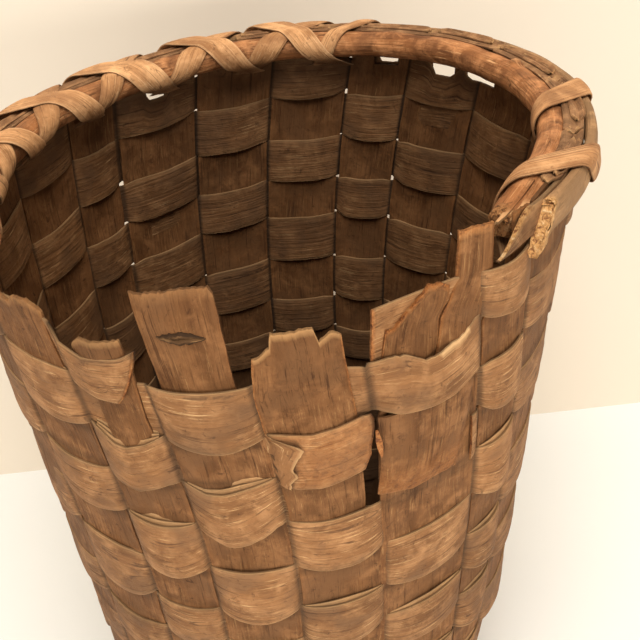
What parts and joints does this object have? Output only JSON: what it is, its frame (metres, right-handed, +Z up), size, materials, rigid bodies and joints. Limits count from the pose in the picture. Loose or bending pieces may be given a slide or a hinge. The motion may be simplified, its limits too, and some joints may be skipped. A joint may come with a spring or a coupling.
{
  "type": "pack basket",
  "caption": "Tall open pack basket in plain weave of wide wooden splints, square at the foot and round at the lashed hoop rim, torn open at the front.",
  "frame": {"origin": "centre of the basket's bounding box, on the surface it stands on", "axes": "+Z up, through the open mouth; -Y towards the torn front; +X to the right as seen from the front"},
  "size_m": [0.312, 0.3016, 0.4148],
  "materials": {
    "stake_splint": "dark weathered ash splint, matte",
    "weaver_splint": "dark weathered ash splint, matte to satin",
    "hoop_wood": "round reddish brown hoop, worn smooth",
    "hoop_split": "split hoop, weathered, paler where broken",
    "lashing_splint": "thin pale orange brown splint, satin"
  },
  "bodies": {
    "root": {"splint_back_front_1": "stake_splint", "splint_back_front_2": "stake_splint", "splint_back_front_3": "stake_splint", "splint_back_front_4": "stake_splint", "splint_back_front_5": "stake_splint", "splint_right_left_1": "stake_splint", "splint_right_left_2": "stake_splint", "splint_right_left_3": "stake_splint", "splint_right_left_4": "stake_splint", "splint_right_left_5": "stake_splint", "weaver_01": "weaver_splint", "weaver_02": "weaver_splint", "weaver_03": "weaver_splint", "weaver_04": "weaver_splint", "weaver_05": "weaver_splint", "weaver_06": "weaver_splint", "weaver_07": "weaver_splint", "weaver_08": "weaver_splint", "weaver_09": "weaver_splint", "weaver_10": "weaver_splint", "weaver_11": "weaver_splint", "weaver_12": "weaver_splint", "weaver_13": "weaver_splint", "weaver_14": "weaver_splint", "inner_hoop": "hoop_wood", "rim_band": "stake_splint", "outer_hoop": "hoop_split", "lashing_under_1": "lashing_splint", "lashing_over_1": "lashing_splint", "lashing_under_2": "lashing_splint", "lashing_over_2": "lashing_splint", "lashing_under_3": "lashing_splint", "lashing_over_3": "lashing_splint", "lashing_under_4": "lashing_splint", "lashing_over_4": "lashing_splint", "lashing_under_5": "lashing_splint", "lashing_over_5": "lashing_splint", "lashing_under_6": "lashing_splint", "lashing_over_6": "lashing_splint", "lashing_narrow": "lashing_splint", "lashing_right_1": "lashing_splint", "lashing_right_2": "lashing_splint", "patch_splint": "weaver_splint"}
  },
  "joints": []
}
